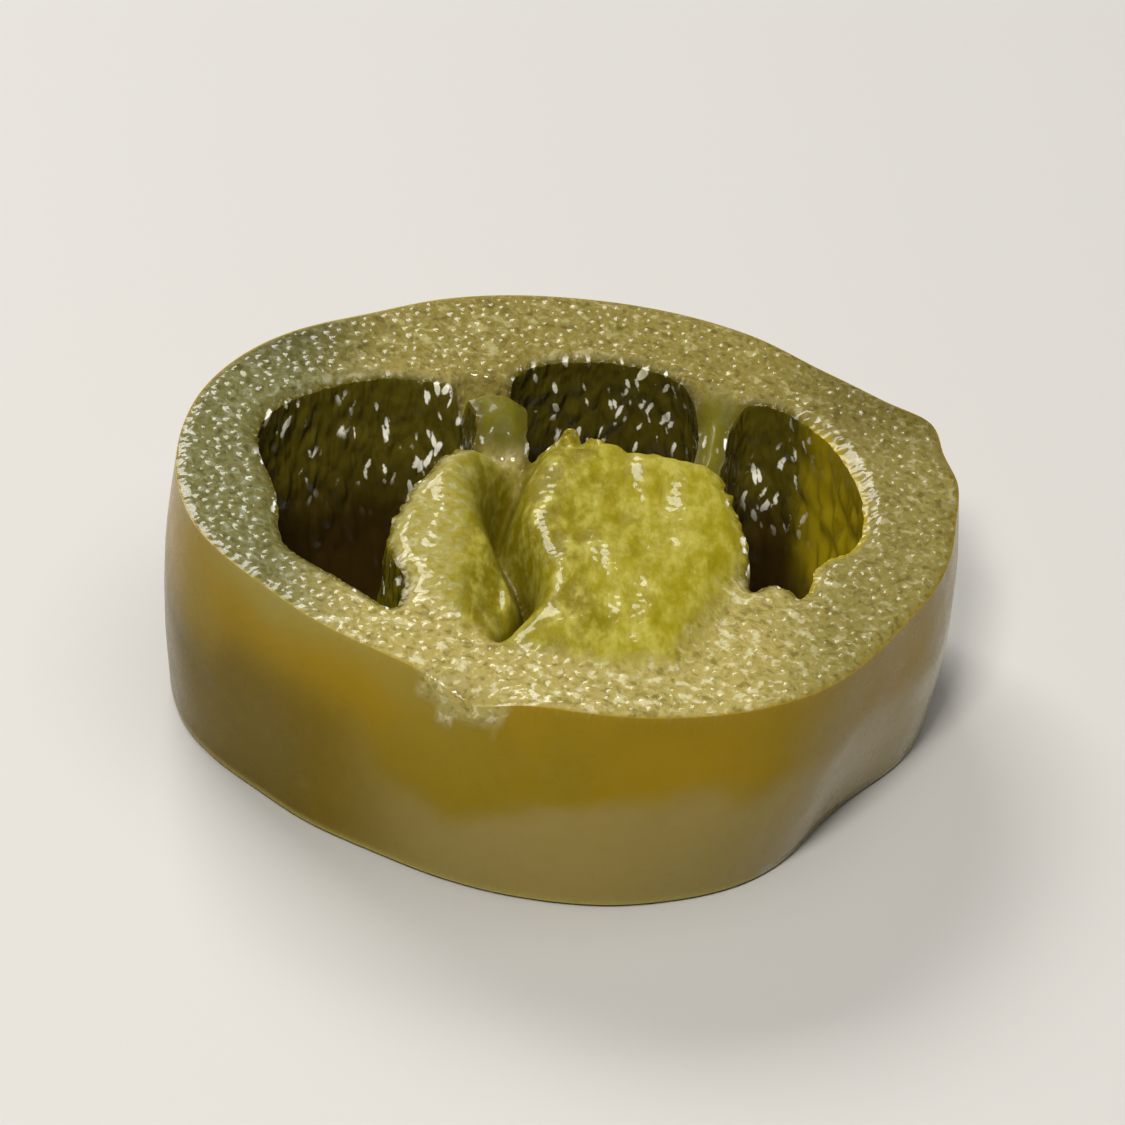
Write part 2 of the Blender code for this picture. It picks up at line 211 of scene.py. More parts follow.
def curve(points, spacing, closed=True):
    """A smooth line through the points, in even steps of about the spacing."""
    p = np.array(points, float)
    if closed:
        before, after, beyond = np.roll(p, 1, 0), np.roll(p, -1, 0), np.roll(p, -2, 0)
    else:
        ends = np.vstack([2 * p[0] - p[1], p, 2 * p[-1] - p[-2]])
        before, p, after, beyond = ends[:-3], ends[1:-2], ends[2:-1], ends[3:]
    t = np.linspace(0, 1, 25)[:-1, None, None]
    square = t**2 * (2 * before - 5 * p + 4 * after - beyond)
    cube = t**3 * (3 * p - before - 3 * after + beyond)
    line = (p + (t * (after - before) + square + cube) / 2).transpose(1, 0, 2).reshape(-1, 2)
    line = np.vstack([line, line[:1] if closed else np.array(points[-1:], float)])
    along = np.concatenate([[0], np.cumsum(np.linalg.norm(np.diff(line, axis=0), axis=1))])
    at = np.linspace(0, along[-1], max(3, round(along[-1] / spacing)) + 1)
    even = np.column_stack([np.interp(at, along, line[:, k]) for k in range(2)])
    return even[:-1] if closed else even


def distance(points, line):
    """How far each point is from the nearest point of a finely drawn line."""
    tree = KDTree(len(line))
    for i, (x, y) in enumerate(line):
        tree.insert((x, y, 0), i)
    tree.balance()
    return np.array([tree.find((x, y, 0))[2] for x, y in points])


def inside(points, outline):
    """Whether each point lies within the closed outline."""
    x, y = points[:, 0], points[:, 1]
    within = np.zeros(len(points), bool)
    for (ax, ay), (bx, by) in zip(outline, np.roll(outline, -1, 0)):
        crossing = (ay > y) != (by > y)
        if crossing.any():
            within ^= crossing & (x < (bx - ax) * (y - ay) / (by - ay) + ax)
    return within


OUTLINES = [SKIN, LEFT_CHAMBER, RIGHT_CHAMBER, BACK_CHAMBER]
FINE = [curve(outline, STEP_FINE) for outline in OUTLINES]
FINE_CHAMBERS = np.vstack(FINE[1:])
FINE_MIDDLE = curve(MIDDLE, STEP_FINE)
FINE_CREASE = curve(CREASE, STEP_FINE, closed=False)


def rough(points, length, seed):
    """Soft unevenness between about -1 and 1 with bumps of the given length."""
    return np.array([noise.noise(Vector((x / length, y / length, seed))) for x, y in points])


def cells(points, size, seed):
    """Round grains packed side by side: 1 on top of each grain, 0 in the gaps."""
    found = []
    for p in points:
        z = p[2] / size if len(p) > 2 else 0.0
        near = noise.voronoi(Vector((p[0] / size, p[1] / size, z + seed)))[0]
        found.append(near[1] - near[0])
    return smooth(np.array(found), 0.0, 0.55)


def middle_depth(points):
    """How far within the seed-bearing middle each point lies, and 0 outside it."""
    return distance(points, FINE_MIDDLE) * inside(points, FINE_MIDDLE)


def stretch(value, begins, full, fades, gone):
    """1 along a stretch and 0 away from it."""
    return smooth(value, begins, full) * (1 - smooth(value, fades, gone))


def membrane(points):
    """1 on the two thin partitions at the back, and 0 elsewhere."""
    x, y = points[:, 0], points[:, 1]
    right = stretch(x, *PARTITION_X) * stretch(y, *RIGHT_MEMBRANE_Y)
    left = stretch(x, *TORN_X) * stretch(y, *LEFT_MEMBRANE_Y)
    return np.clip(right + left, 0, 1)


def seedbed(points):
    """1 on the seed-bearing middle and 0 off it, with a ragged border."""
    wander = BORDER_RAGGED * rough(points, BORDER_SIZE, 8.8)
    return smooth(middle_depth(points) + wander, *BORDER)


def crease(points):
    """1 along the bottom of the crease in the middle, and 0 away from it."""
    y = points[:, 1]
    along = 0.5 * stretch(y, *CREASE_Y) + 0.5 * smooth(y, *CREASE_Y[:2])
    return along * np.exp(-((distance(points, FINE_CREASE) / CREASE_HALF_WIDTH) ** 2))


def crack(points):
    """1 along the thin crack at the crease's front end, and 0 away from it."""
    along = stretch(points[:, 1], *CRACK_Y)
    return along * np.exp(-((distance(points, FINE_CREASE) / CRACK_HALF_WIDTH) ** 2))


def scuff(points, depth):
    """1 where the skin is scraped off below the chip in the rim, and 0 elsewhere."""
    x, y = points[:, 0], points[:, 1]
    width = np.exp(-(((x - SCUFF_X) / SCUFF_HALF_WIDTH) ** 2)) * (y < 0)
    ragged = depth + SCUFF_RAGGED * rough(points, SCUFF_RAGGED_SIZE, 2.2)
    return smooth(width * (1 - smooth(ragged, *SCUFF_DEPTH)), *SCUFF_BORDER)


def nibbled(points):
    """The plan with the chamber edges frayed, most of all around the middle."""
    deep = middle_depth(points)
    tree = KDTree(len(FINE_CHAMBERS))
    for i, (x, y) in enumerate(FINE_CHAMBERS):
        tree.insert((x, y, 0), i)
    tree.balance()
    moved = points.copy()
    for i, (x, y) in enumerate(points):
        edge, number, away = tree.find((x, y, 0))
        if away > NIBBLE_REACH:
            continue
        before, after = FINE_CHAMBERS[number - 2], FINE_CHAMBERS[(number + 2) % len(FINE_CHAMBERS)]
        along = after - before
        length = np.linalg.norm(along)
        if length < NIBBLE_SAME_LINE:
            amount = noise.noise(edge / NIBBLE_SIZE) * (1 - away / NIBBLE_REACH)
            share = NIBBLE_MIDDLE if deep[i] > 0.05 else NIBBLE
            moved[i] += share * amount * np.array((along[1], -along[0])) / length
    return moved


def top_height(points):
    """Height of the upper cut face, in millimetres, as in the part's source."""
    x, y = points[:, 0], points[:, 1]
    lean = (HEIGHT_LEFT - HEIGHT_RIGHT) / RING_WIDTH
    z = (HEIGHT_LEFT + HEIGHT_RIGHT) / 2 / MM - lean * x
    z += KNIFE_WAVE * rough(points, KNIFE_WAVE_LENGTH, 3.1)

    deep = middle_depth(points)
    z += MIDDLE_LUMPS * smooth(deep, 0, 1.6) * rough(points, MIDDLE_LUMP_LENGTH, 7.7)
    for cx, cy, half_width, half_length, share, power in MOUNDS:
        out = np.abs((x - cx) / half_width) ** power + np.abs((y - cy) / half_length) ** power
        z += MIDDLE_RISE / MM * share * np.clip(1 - out, 0, 1) ** 0.6 * smooth(deep, 0, 2.0)
    for cx, cy, half_width, half_length, depth in HOLLOWS:
        z -= depth * np.exp(-(((x - cx) / half_width) ** 2) - ((y - cy) / half_length) ** 2)

    z -= CREASE_DEPTH / MM * crease(points)

    right = stretch(x, *PARTITION_X) * stretch(y, *PARTITION_Y)
    z -= PARTITION_DROP / MM * right * (1 + PARTITION_SLANT * (PARTITION_SLANT_X - x))
    z -= TORN_STEP * stretch(x, *TORN_X) * stretch(y, *TORN_Y)

    z -= EDGE_ROUND_CHAMBER * (1 - smooth(distance(points, FINE_CHAMBERS), 0, EDGE_WIDTH_CHAMBER))
    return z - EDGE_ROUND_SKIN * (1 - smooth(distance(points, FINE[0]), 0, EDGE_WIDTH_SKIN))


def base_height(points):
    """Height of the lower cut face: flat wall, with the softer middle a little hollow."""
    hollow = smooth(middle_depth(points), 0, 1.5)
    crease = np.exp(-((distance(points, FINE_CREASE) / 1.5 / CREASE_HALF_WIDTH) ** 2))
    z = hollow * (UNDERSIDE_RECESS + CREASE_DEPTH / 2 * crease) / MM
    z += EDGE_ROUND_CHAMBER * (1 - smooth(distance(points, FINE_CHAMBERS), 0, EDGE_WIDTH_CHAMBER))
    return z + EDGE_ROUND_SKIN * (1 - smooth(distance(points, FINE[0]), 0, EDGE_WIDTH_SKIN))


def base_place(points):
    """Where a point of the upper face's plan comes to lie on the lower face."""
    angle = np.degrees(np.arctan2(points[:, 1], points[:, 0]))
    shrink = BASE_TAPER + SIDE_DENT * np.exp(-(((angle - DENT_ANGLE) / DENT_SPREAD) ** 2))
    near = 1 - smooth(distance(points, FINE[0]), 0, TAPER_REACH)
    placed = points * (1 - shrink * near)[:, None]
    x, y = points[:, 0], points[:, 1]
    beside = smooth(np.abs(x - BACK_CHAMBER_X), *TOE_FROM_BACK_CHAMBER)
    placed[:, 1] -= np.where(x < 0, TOE_LEFT, TOE_RIGHT) * beside * stretch(y, *TOE_Y)
    return placed


def fill(loops, spacing):
    """Triangles between the outer loop and the holes, and the loops' points among them."""
    across = np.arange(-PLAN_REACH, PLAN_REACH, spacing)
    up = np.arange(-PLAN_REACH, PLAN_REACH, spacing * math.sin(math.pi / 3))
    grid = np.array([(x + (j % 2) * spacing / 2, y) for j, y in enumerate(up) for x in across])
    keep = inside(grid, FINE[0]) & (distance(grid, np.vstack(FINE)) > 0.62 * spacing)
    for hole in FINE[1:]:
        keep &= ~inside(grid, hole)
    spots = np.vstack([*loops, grid[keep]])
    edges, start = [], 0
    for loop in loops:
        n = len(loop)
        edges += [(start + i, start + (i + 1) % n) for i in range(n)]
        start += n
    found = geometry.delaunay_2d_cdt([Vector(p) for p in spots], edges, [], 0, 1e-7)
    places = np.array([tuple(p) for p in found[0]])
    triangles = np.array(found[2])
    centres = places[triangles].mean(axis=1)
    within = inside(centres, loops[0])
    for hole in loops[1:]:
        within &= ~inside(centres, hole)
    new_number = np.empty(len(spots), int)
    new_number[[sources[0] for sources in found[3]]] = np.arange(len(places))
    return places, triangles[within], new_number[:start]


def wall_push(loop, is_chamber):
    """Direction away from the flesh along a wall, and how far the wall stands out there."""
    along = np.roll(loop, -1, 0) - np.roll(loop, 1, 0)
    along /= np.linalg.norm(along, axis=1)[:, None]
    away = np.column_stack([along[:, 1], -along[:, 0]])
    if not is_chamber:
        return away, np.full(len(loop), SKIN_BULGE / MM), SKIN_LUMPS
    outward = loop / np.linalg.norm(loop, axis=1)[:, None]
    return -away, CHAMBER_SWELL / MM * (-away * outward).sum(axis=1), WALL_LUMPS


def upper_face(plan):
    """The upper cut face with its fine relief: cells, grain, torn crests and the crack."""
    middle = seedbed(plan)
    bare = 1 - membrane(plan)
    calm = smooth(distance(plan, FINE[0]), 0, CELL_CALM)
    z = top_height(plan) - CRACK_DEPTH * crack(plan)
    cell = cells(plan, CELL_SIZE, 0.3) - CELL_LEVEL
    z += CELL_HEIGHT * cell * calm * bare * (1 - CELL_LOSS_ON_MIDDLE * middle)
    z += GRAIN_HEIGHT * rough(plan * (1, GRAIN_SQUEEZE), GRAIN_SIZE, 4.3) * middle
    crest = smooth(plan[:, 1], *CREST_Y) * middle * bare
    z -= CREST_NOTCH * (1 - cells(plan, CREST_SIZE, 2.6)) * crest
    return np.column_stack([nibbled(plan), z])


def face_masks(plan, upper):
    """How much each point of a cut face belongs to each kind of surface."""
    masks = {
        "skin": 1 - smooth(distance(plan, FINE[0]), 0, SKIN_LINE),
        "chamber": 1 - smooth(distance(plan, FINE_CHAMBERS), 0, LINING_LINE),
    }
    if upper:
        masks["skin"] *= 1 - scuff(plan, 0)
        masks["middle"] = seedbed(plan)
        masks["membrane"] = membrane(plan)
        # The crease mask carries painted shade along the crease and the crack.
        masks["crease"] = np.clip(DARK_IN_CREASE * crease(plan) + crack(plan), 0, 1)
        masks["depth"] = np.zeros(len(plan))
    else:
        masks["middle"] = smooth(middle_depth(plan), *BASE_BORDER)
        masks["membrane"] = masks["crease"] = np.zeros(len(plan))
        masks["depth"] = np.full(len(plan), BASE_DEPTH)
    return masks


def wall_level(loop, upper, lower, share, is_chamber):
    """The points of a wall at a share of the way from its upper edge to its lower one."""
    away, swell, lumps = wall_push(loop, is_chamber)
    level = upper * (1 - share) + lower * share
    grain = rough(loop + (0, PLAN_REACH * share), WALL_LUMP_LENGTH, 5.5)
    push = (swell + lumps * grain) * math.sin(math.pi * share)
    if is_chamber:
        blister = cells(level * (1, 1, BLISTER_SQUEEZE), BLISTER_SIZE, 9.1) - 0.5
        push += BLISTER_HEIGHT * blister * min(1, BLISTER_FADE * share, BLISTER_FADE * (1 - share))
    level[:, :2] += away * push[:, None]
    return level


def wall_masks(loop, on_middle, depth, is_chamber):
    """How much each point of a wall belongs to each kind of surface."""
    none = np.zeros(len(loop))
    masks = {"membrane": none, "crease": none, "depth": depth}
    masks["chamber"] = none + is_chamber
    masks["middle"] = on_middle if is_chamber else none
    masks["skin"] = none if is_chamber else 1 - scuff(loop, depth)
    return masks


def in_place(points):
    """The drawn points in metres, where the part's node is."""
    scale = RING_WIDTH / np.ptp(FINE[0][:, 0])
    points = points * (scale, scale, MM)
    low, high = (np.array(corner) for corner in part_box(NODE))
    shift = (low + high) / 2 - (points.min(axis=0) + points.max(axis=0)) / 2
    return points + (shift[0], shift[1], low[2] - points[:, 2].min())


def ring_mesh():
    """The ring at its full fineness, with masks for its kinds of surface."""
    loops = [curve(outline, STEP_TOP) for outline in OUTLINES]
    top_plan, top_faces, top_rims = fill(loops, STEP_TOP)
    base_plan, base_faces, base_rims = fill(loops, STEP_BASE)
    top = upper_face(top_plan)
    base = np.column_stack([base_place(base_plan), base_height(base_plan)])
    points = [top, base]
    surfaces = [face_masks(top_plan, True), face_masks(base_plan, False)]
    faces = [tuple(f) for f in top_faces] + [tuple(f[::-1] + len(top)) for f in base_faces]
    count = len(top) + len(base)
    start = 0
    for number, loop in enumerate(loops):
        n = len(loop)
        upper, lower = top_rims[start : start + n], base_rims[start : start + n]
        on_middle = smooth(middle_depth(loop), *WALL_BORDER)
        rows = ROWS_CHAMBER if number else ROWS_SKIN
        above = upper
        for row in range(1, rows + 1):
            below = lower + len(top)
            if row < rows:
                level = wall_level(loop, top[upper], base[lower], row / rows, number > 0)
                points.append(level)
                surfaces.append(wall_masks(loop, on_middle, top[upper, 2] - level[:, 2], number > 0))
                below = np.arange(count, count + n)
                count += n
            for i in range(n):
                a, b, c, d = above[i], above[(i + 1) % n], below[(i + 1) % n], below[i]
                faces += [(a, b, d), (b, c, d)] if number else [(a, d, b), (b, d, c)]
            above = below
        start += n

    mesh = bpy.data.meshes.new("ring")
    mesh.from_pydata(in_place(np.vstack(points)).tolist(), [], [tuple(map(int, f)) for f in faces])
    for name in surfaces[0]:
        values = np.concatenate([masks[name] for masks in surfaces]).astype(np.float32)
        mesh.attributes.new(name, "FLOAT", "POINT").data.foreach_set("value", values)
    mesh.shade_smooth()
    mesh.set_sharp_from_angle(angle=math.radians(SHARP_ANGLE))
    return mesh


class Shader:
    """A short way to write a material's nodes."""

    def __init__(self, name):
        self.material = bpy.data.materials.new(name)
        self.material.use_nodes = True
        self.tree = self.material.node_tree
        self.shader = self.tree.nodes["Principled BSDF"]

    def node(self, kind, inputs=(), **settings):
        made = self.tree.nodes.new(kind)
        for key, value in settings.items():
            setattr(made, key, value)
        for key, value in dict(inputs).items():
            self.put(made.inputs[key], value)
        return made

    def put(self, socket, value):
        if isinstance(value, bpy.types.NodeSocket):
            self.tree.links.new(value, socket)
        else:
            socket.default_value = value

    def mask(self, name):
        return self.node("ShaderNodeAttribute", attribute_name=name).outputs["Fac"]

    def noise(self, place, size, detail=2.0, rough=0.5):
        inputs = {"Vector": place, "Scale": 1 / size, "Detail": detail, "Roughness": rough}
        return self.node("ShaderNodeTexNoise", inputs).outputs["Fac"]

    def cells(self, place, size):
        """Distance to the middle of the nearest of many scattered cells, in cells."""
        return self.node("ShaderNodeTexVoronoi", {"Vector": place, "Scale": 1 / size}).outputs["Distance"]

    def scaled(self, place, *scale):
        return self.node("ShaderNodeMapping", {"Vector": place, "Scale": scale}).outputs[0]

    def shaken(self, place, size, reach):
        """The place, pushed about by up to the reach in swirls of about the size."""
        shift = self.node("ShaderNodeTexNoise", {"Vector": place, "Scale": 1 / size}).outputs["Color"]
        inputs = {0: shift, 1: (reach,) * 3, 2: place}
        return self.node("ShaderNodeVectorMath", inputs, operation="MULTIPLY_ADD").outputs[0]

    def math(self, operation, a, b=0.0):
        return self.node("ShaderNodeMath", {0: a, 1: b}, operation=operation).outputs[0]

    def span(self, value, low, high, to_low=0.0, to_high=1.0):
        """Goes smoothly from one number to another while the value goes from low to high."""
        inputs = {"Value": value, "From Min": low, "From Max": high, "To Min": to_low, "To Max": to_high}
        return self.node("ShaderNodeMapRange", inputs, interpolation_type="SMOOTHSTEP").outputs["Result"]

    def mix(self, share, a, b, way="MIX"):
        """Colour a, and b by the share."""
        made = self.node("ShaderNodeMix", data_type="RGBA", blend_type=way)
        for index, value in ((0, share), (6, a), (7, b)):
            self.put(made.inputs[index], value)
        return made.outputs[2]

    def tint(self, share, a, b):
        """Colour a, multiplied by b by the share."""
        return self.mix(share, a, b, "MULTIPLY")

    def blend(self, share, a, b):
        """Number a, and b by the share."""
        made = self.node("ShaderNodeMix", data_type="FLOAT")
        for index, value in ((0, share), (2, a), (3, b)):
            self.put(made.inputs[index], value)
        return made.outputs[0]


# Colours, linear.
SKIN_GOLD = (0.300, 0.190, 0.002, 1)
SKIN_GREEN = (0.250, 0.170, 0.003, 1)
# Painted shade, low on the skin's left.
SKIN_BROWN = (0.110, 0.075, 0.001, 1)
# Pale mottling, and also a painted highlight along the rim on the left and along the lower edge.
SKIN_PALE = (0.330, 0.275, 0.060, 1)
# Painted reflection: paler grey-olive low on the skin's front left and up its turn on the right.
SKIN_BLOOM = (0.290, 0.225, 0.065, 1)
FLESH_CELL = (0.250, 0.205, 0.045, 1)
FLESH_WALL = (0.370, 0.305, 0.085, 1)
FLESH_DARK = (0.150, 0.120, 0.015, 1)
# Pale grains, partly painted wet glints.
FLESH_SPECK = (0.580, 0.530, 0.300, 1)
# Painted shade on the cut face's left, right and back.
LEFT_TINT = (0.340, 0.400, 0.430, 1)
RIGHT_TINT = (0.600, 0.600, 0.500, 1)
BACK_TINT = (0.620, 0.600, 0.420, 1)
MIDDLE_YELLOW = (0.275, 0.230, 0.004, 1)
MIDDLE_DEEP = (0.185, 0.150, 0.001, 1)
MIDDLE_PALE = (0.420, 0.375, 0.060, 1)
EAR = (0.300, 0.280, 0.085, 1)
MEMBRANE = (0.130, 0.115, 0.006, 1)
# Painted shade in the crease and the crack.
CREASE_OLIVE = (0.080, 0.060, 0.001, 1)
CHAMBER_LIT = (0.330, 0.250, 0.006, 1)
CHAMBER_OLIVE = (0.090, 0.072, 0.006, 1)
# Painted shade deep in the chambers.
CHAMBER_DARK = (0.030, 0.017, 0.003, 1)
CHAMBER_GLINT = (0.950, 0.930, 0.780, 1)

# Sizes of the material's patterns, in metres.
BLOTCH_SIZE = 8 * MM
MOTTLE_SIZE = 0.8 * MM
DRIFT_SIZE = 2.6 * MM
SPECK_SIZE = 0.22 * MM
FLECK_SIZE = 0.54 * MM
FLESH_CELL_SIZE = 0.40 * MM
FLESH_SHAKE_SIZE = 0.6 * MM
STREAK_SIZE = 0.6 * MM
STREAK_SQUEEZE = 0.45
RIDGE_SIZE = 0.42 * MM
RIDGE_SQUEEZE = 0.4
STROKES = ((0.35, 0.46 * MM), (-0.25, 0.40 * MM))  # lean from upright, in radians, and size
STROKE_LENGTH = (1, 5, 3.2)
STROKE_SHAKE_SIZE = 0.8 * MM
STROKE_SHAKE = 0.4 * MM
FLESH_SHAKE = 0.5 * MM
BUMP_STRENGTH = 0.7
BUMP_HEIGHT = 0.09 * MM

# Where the material changes along X, Y and Z, in metres.
LEFT_SKIN_X = (-11 * MM, -1 * MM)
# Painted highlight along the skin's rim, less at the far left.
PALE_SKIN_X = (-15.5 * MM, -12 * MM)
# Painted reflection low on the skin's front left.
BLOOM_X = (-9 * MM, -3 * MM)
# Painted reflection up the skin's turn on the right.
TURN_BEGINS_X = (9.0 * MM, 11.0 * MM)
TURN_ENDS_X = (11.6 * MM, 13.4 * MM)
# Where the painted shade lies on the cut face.
LEFT_FLESH_X = (-12 * MM, -7 * MM)
RIGHT_FLESH_X = (7 * MM, 12 * MM)
BACK_FLESH_Y = (5 * MM, 10 * MM)
YELLOW_X = (-1.5 * MM, 3.0 * MM)
YELLOW_WANDER = 2.0 * MM
EAR_X = (-4.6 * MM, -3.4 * MM)
FLESHY_EAR_X = (-5.2 * MM, -3.6 * MM)
LIT_WALL_X = (9.0 * MM, 10.6 * MM)
# Painted highlight along the skin's lower edge.
LOWER_EDGE_Z = (0.15 * MM, 0.45 * MM)

# Where it changes with the depth below the rim, which the mask gives in millimetres.
DEPTH_WANDER = 1.2
# Painted shade low on the skin's left.
BROWN_DEPTH = (2.5, 6.0)
# Painted highlight near the skin's rim.
PALE_DEPTH = (0.2, 3.2)
# Painted reflection low on the skin.
BLOOM_DEPTH = (3.6, 5.4)
# Painted reflection at the skin's turn.
TURN_DEPTH = (0.3, 3.0)
# Painted shade deep in the chambers.
DARK_DEPTH = (2.5, 6.5)
LIT_DEPTH = (5.0, 8.0)
GLINT_DEPTH = (3.5, 6.0)
WET_DEPTH = (0.2, 1.2)
RIDGE_DEPTH = (4.0, 7.0)

ROUGHNESS = {"flesh": 0.45, "middle": 0.42, "chamber": 0.2, "membrane": 0.42, "skin": (0.25, 0.33)}
COAT = {"flesh": 0.6, "middle": 0.4, "chamber": (0.25, 1.0), "membrane": 0.2, "skin": 0.15, "bloom": 0.65}
WET_FLESH = {
    "Subsurface Weight": 0.3,
    "Subsurface Radius": (1.0, 0.8, 0.12),
    "Subsurface Scale": 1.2 * MM,
    "Specular IOR Level": 0.12,
    "IOR": 1.4,
    "Coat Roughness": 0.06,
    "Coat IOR": 1.38,
}


class Pepper(Shader):
    """Skin, cut flesh, middle and chamber lining in one material, told apart by the masks."""

    def __init__(self, name):
        super().__init__(name)
        self.place = self.node("ShaderNodeTexCoord").outputs["Object"]
        self.x, self.y, self.z = self.node("ShaderNodeSeparateXYZ", {0: self.place}).outputs
        self.skin, self.chamber, self.depth = self.mask("skin"), self.mask("chamber"), self.mask("depth")
        self.membrane, self.crease = self.mask("membrane"), self.mask("crease")
        fleshy = self.span(self.x, *FLESHY_EAR_X, 0.55, 1.0)
        self.middle = self.math("MULTIPLY", self.mask("middle"), fleshy)

        shaken = self.shaken(self.place, FLESH_SHAKE_SIZE, FLESH_SHAKE)
        self.cell = self.cells(shaken, FLESH_CELL_SIZE)
        self.flecks = self.noise(shaken, FLECK_SIZE, 2.0, 0.6)
        self.specks = self.noise(self.place, SPECK_SIZE, 2.0, 0.6)
        self.mottle = self.noise(self.place, MOTTLE_SIZE, 4.0, 0.6)
        self.drift = self.noise(self.place, DRIFT_SIZE)
        self.blotch = self.noise(self.place, BLOTCH_SIZE)
        self.streak = self.noise(self.scaled(self.place, 1, STREAK_SQUEEZE, 1), STREAK_SIZE, 3.0, 0.6)

        wander = self.span(self.blotch, 0.3, 0.7, -DEPTH_WANDER, DEPTH_WANDER)
        self.uneven_depth = self.math("ADD", self.depth, wander)
        # The band of painted reflection low on the skin's front left, which also gets more coat.
        self.bloom = self.both(self.span(self.uneven_depth, *BLOOM_DEPTH), self.span(self.x, *BLOOM_X))
        self.lit = self.both(self.span(self.x, *LIT_WALL_X), self.span(self.depth, *LIT_DEPTH, 1.0, 0.0))

    def both(self, a, b):
        return self.math("MULTIPLY", a, b)

    def strokes(self, lean, size):
        """Distance to the middle of scattered strokes that lean from upright."""
        inputs = {"Vector": self.place, "Rotation": (0, lean, 0), "Scale": STROKE_LENGTH}
        leaning = self.node("ShaderNodeMapping", inputs, vector_type="TEXTURE").outputs[0]
        return self.cells(self.shaken(leaning, STROKE_SHAKE_SIZE, STROKE_SHAKE), size)

    def skin_colour(self):
        """Golden to green, with painted shade low on the left, a painted highlight along the rim on the
        left and along the lower edge, and a painted reflection low on the front left and up the turn on
        the right.
        """
        colour = self.mix(self.span(self.blotch, 0.40, 0.62), SKIN_GREEN, SKIN_GOLD)
        left = self.span(self.x, *LEFT_SKIN_X, 1.0, 0.0)
        # Painted shade: browner low on the left.
        brown = self.both(left, self.span(self.uneven_depth, *BROWN_DEPTH, 0.0, 0.8))
        colour = self.mix(brown, colour, SKIN_BROWN)
        # Painted highlight: paler along the rim on the left.
        pale = self.span(self.uneven_depth, *PALE_DEPTH, 0.9, 0.0)
        pale = self.both(pale, self.span(self.x, *PALE_SKIN_X, 0.2, 1.0))
        colour = self.mix(self.both(left, pale), colour, SKIN_PALE)
        # Painted reflections: up the skin's turn on the right, and low on the front left.
        turn = self.both(self.span(self.x, *TURN_BEGINS_X), self.span(self.x, *TURN_ENDS_X, 1.0, 0.0))
        turn = self.both(turn, self.span(self.uneven_depth, *TURN_DEPTH, 0.3, 0.8))
        bloom = self.both(self.math("MAXIMUM", self.bloom, turn), 0.75)
        colour = self.mix(bloom, colour, SKIN_BLOOM)
        colour = self.mix(self.span(self.mottle, 0.55, 0.75, 0.0, 0.12), colour, SKIN_PALE)
        # Painted highlight along the lower edge.
        return self.mix(self.span(self.z, *LOWER_EDGE_Z, 0.8, 0.0), colour, SKIN_PALE)

    def flesh_colour(self):
        """Cells with pale walls, dark gaps and bright flecks that are partly painted wet glints, with
        painted shade on the left, right and back.
        """
        colour = self.mix(self.span(self.cell, 0.10, 0.5, 0.3, 1.0), FLESH_CELL, FLESH_WALL)
        colour = self.mix(self.span(self.flecks, 0.30, 0.44, 0.65, 0.0), colour, FLESH_DARK)
        # Pale grains, partly painted wet glints.
        colour = self.mix(self.span(self.flecks, 0.54, 0.66, 0.0, 0.85), colour, FLESH_SPECK)
        # Painted shade on the left, right and back.
        colour = self.tint(self.span(self.x, *LEFT_FLESH_X, 0.9, 0.0), colour, LEFT_TINT)
        colour = self.tint(self.span(self.x, *RIGHT_FLESH_X), colour, RIGHT_TINT)
        return self.tint(self.span(self.y, *BACK_FLESH_Y), colour, BACK_TINT)

    def middle_colour(self):
        """Streaky yellow, deeper towards the crease, with a paler lobe on its left and painted shade in
        the crease.
        """
        wander = self.span(self.drift, 0.3, 0.7, -YELLOW_WANDER, YELLOW_WANDER)
        yellow = self.span(self.math("ADD", self.x, wander), *YELLOW_X)
        colour = self.mix(yellow, MIDDLE_DEEP, MIDDLE_YELLOW)
        colour = self.mix(self.span(self.streak, 0.40, 0.72, 0.0, 0.85), colour, MIDDLE_PALE)
        colour = self.mix(self.span(self.streak, 0.25, 0.45, 0.5, 0.0), colour, MIDDLE_DEEP)
        ear = self.mix(self.span(self.flecks, 0.35, 0.65), MIDDLE_YELLOW, EAR)
        colour = self.mix(self.span(self.x, *EAR_X, 0.9, 0.0), colour, ear)
        # Painted shade in the crease and the crack.
        return self.mix(self.crease, colour, CREASE_OLIVE)

    def glints(self):
        """Clusters of wet strokes in the upper half of the chambers, off the lit wall."""
        (lean, size), (other_lean, other_size) = STROKES
        stroke = self.math("MINIMUM", self.strokes(lean, size), self.strokes(other_lean, other_size))
        stroke = self.math("ADD", stroke, self.span(self.mottle, 0.35, 0.65, -0.09, 0.13))
        glint = self.both(self.span(stroke, 0.19, 0.29, 1.0, 0.0), self.span(self.drift, 0.44, 0.53))
        glint = self.both(glint, self.span(self.depth, *GLINT_DEPTH, 1.0, 0.0))
        return self.both(glint, self.math("SUBTRACT", 1.0, self.lit))

    def lining_colour(self):
        """Dark olive with painted shade that goes to brown with the depth, and painted light on the right
        chamber's wall.
        """
        # Painted shade, deeper in the chambers.
        colour = self.mix(self.span(self.depth, *DARK_DEPTH), CHAMBER_OLIVE, CHAMBER_DARK)
        colour = self.mix(self.both(self.middle, 0.8), colour, MIDDLE_DEEP)
        colour = self.mix(self.lit, colour, CHAMBER_LIT)
        return self.mix(self.glints(), colour, CHAMBER_GLINT)

    def colour(self):
        colour = self.mix(self.middle, self.flesh_colour(), self.middle_colour())
        colour = self.mix(self.membrane, colour, MEMBRANE)
        colour = self.mix(self.chamber, colour, self.lining_colour())
        return self.mix(self.skin, colour, self.skin_colour())

